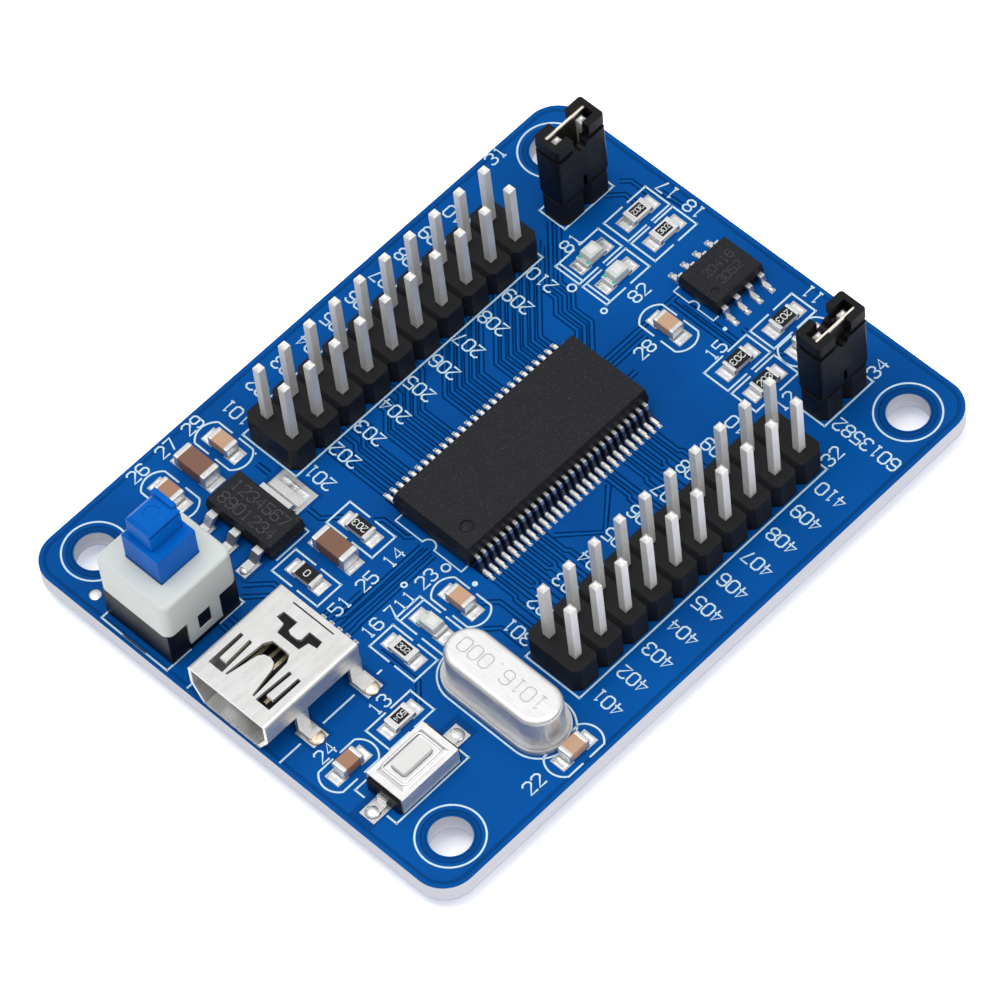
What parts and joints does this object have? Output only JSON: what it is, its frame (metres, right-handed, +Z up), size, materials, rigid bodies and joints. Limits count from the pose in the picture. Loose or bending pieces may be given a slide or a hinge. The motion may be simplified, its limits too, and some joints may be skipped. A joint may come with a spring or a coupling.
{
  "type": "microcontroller development board",
  "caption": "Small blue circuit board with a long controller chip, two double-row pin headers, a push power switch, a mini USB socket, a reset button and pull-off link caps.",
  "frame": {"origin": "centre of the four mounting holes, on the board's underside", "axes": "+X along the board's long side, away from the USB socket; +Y to the header that stands beside the power switch; +Z up out of the component side"},
  "size_m": [0.0546, 0.042, 0.0153],
  "materials": {
    "board_laminate": "glossy blue solder mask over glass laminate",
    "header_plastic": "black moulded nylon",
    "pin_metal": "matt tin plate",
    "link_cap_plastic": "black moulded, satin",
    "contact_brass": "bright plated spring brass",
    "shell_metal": "nickel plated sheet",
    "insulator_black": "black moulded",
    "contact_gold": "gold flash",
    "switch_base_black": "black moulded",
    "switch_cover_white": "white moulded, satin",
    "plunger_blue": "bright blue moulded, satin",
    "spring_steel": "bright spring wire",
    "terminal_metal": "tin plate",
    "package_black": "black moulding compound, fine grain",
    "lead_tin": "tin plate",
    "crystal_metal": "nickel plated, satin",
    "quartz": "ground quartz",
    "reset_cover_metal": "bright plated sheet",
    "reset_button_white": "white moulded",
    "reset_base_black": "black moulded",
    "resistor_black": "black resistor glass between tinned ends",
    "resistor_ceramic": "white ceramic between tinned ends",
    "capacitor_tan": "tan ceramic between tinned ends",
    "led_clear": "clear resin on a white carrier",
    "solder": "bright solder"
  },
  "bodies": {
    "board": {"capacitor_1": "capacitor_tan", "capacitor_2": "capacitor_tan", "capacitor_3": "capacitor_tan", "capacitor_4": "capacitor_tan", "capacitor_5": "capacitor_tan", "capacitor_6": "capacitor_tan", "capacitor_7": "capacitor_tan", "capacitor_8": "capacitor_tan", "capacitor_9": "capacitor_tan", "circuit_board": "board_laminate", "controller_body": "package_black", "controller_leads": "lead_tin", "crystal_base": "crystal_metal", "crystal_blank": "quartz", "crystal_can": "crystal_metal", "crystal_leads": "terminal_metal", "header_a_housing": "header_plastic", "header_a_pins": "pin_metal", "header_b_housing": "header_plastic", "header_b_pins": "pin_metal", "link_housings": "header_plastic", "link_pins": "pin_metal", "memory_body": "package_black", "memory_leads": "lead_tin", "power_led": "led_clear", "regulator_body": "package_black", "regulator_legs": "lead_tin", "regulator_tab": "lead_tin", "reset_base": "reset_base_black", "reset_cover": "reset_cover_metal", "reset_dome": "spring_steel", "reset_leads": "lead_tin", "resistor_1": "resistor_black", "resistor_2": "resistor_black", "resistor_3": "resistor_ceramic", "resistor_4": "resistor_black", "resistor_5": "resistor_black", "resistor_6": "resistor_ceramic", "resistor_7": "resistor_ceramic", "resistor_8": "resistor_ceramic", "signal_led_1": "led_clear", "signal_led_2": "led_clear", "switch_base": "switch_base_black", "switch_cover": "switch_cover_white", "switch_spring": "spring_steel", "switch_terminals": "terminal_metal", "through_hole_solder": "solder", "usb_contacts": "contact_gold", "usb_insulator": "insulator_black", "usb_shell": "shell_metal", "zero_ohm_link": "resistor_black"},
    "switch_press_body": {"switch_plunger": "plunger_blue", "switch_wipers": "contact_brass"},
    "switch_latch_body": {"switch_latch_wire": "spring_steel"},
    "reset_press_body": {"reset_button": "reset_button_white"},
    "link_a_cap_body": {"link_a_cap": "link_cap_plastic", "link_a_contact": "contact_brass"},
    "link_b_cap_body": {"link_b_cap": "link_cap_plastic", "link_b_contact": "contact_brass"}
  },
  "joints": [
    {"name": "switch_press", "type": "slide", "parent": "board", "child": "switch_press_body", "axis": [0, 0, -1], "range_m": [0, 0.0015], "stiffness_N_per_m": 600, "springref_m": -0.002, "deforming": ["switch_spring"]},
    {"name": "switch_latch_swing", "type": "hinge", "parent": "board", "child": "switch_latch_body", "pos_m": [-0.0207, 0.01, 0.00275], "axis": [1, 0, 0], "range_deg": [-6, 6]},
    {"name": "reset_press", "type": "slide", "parent": "board", "child": "reset_press_body", "axis": [0, 0, -1], "range_m": [0, 0.00025], "stiffness_N_per_m": 5000, "springref_m": -0.0001, "deforming": ["reset_dome"]},
    {"name": "link_a_pull", "type": "slide", "parent": "board", "child": "link_a_cap_body", "axis": [0, 0, 1], "range_m": [0, 0.0065]},
    {"name": "link_b_pull", "type": "slide", "parent": "board", "child": "link_b_cap_body", "axis": [0, 0, 1], "range_m": [0, 0.0065]}
  ]
}
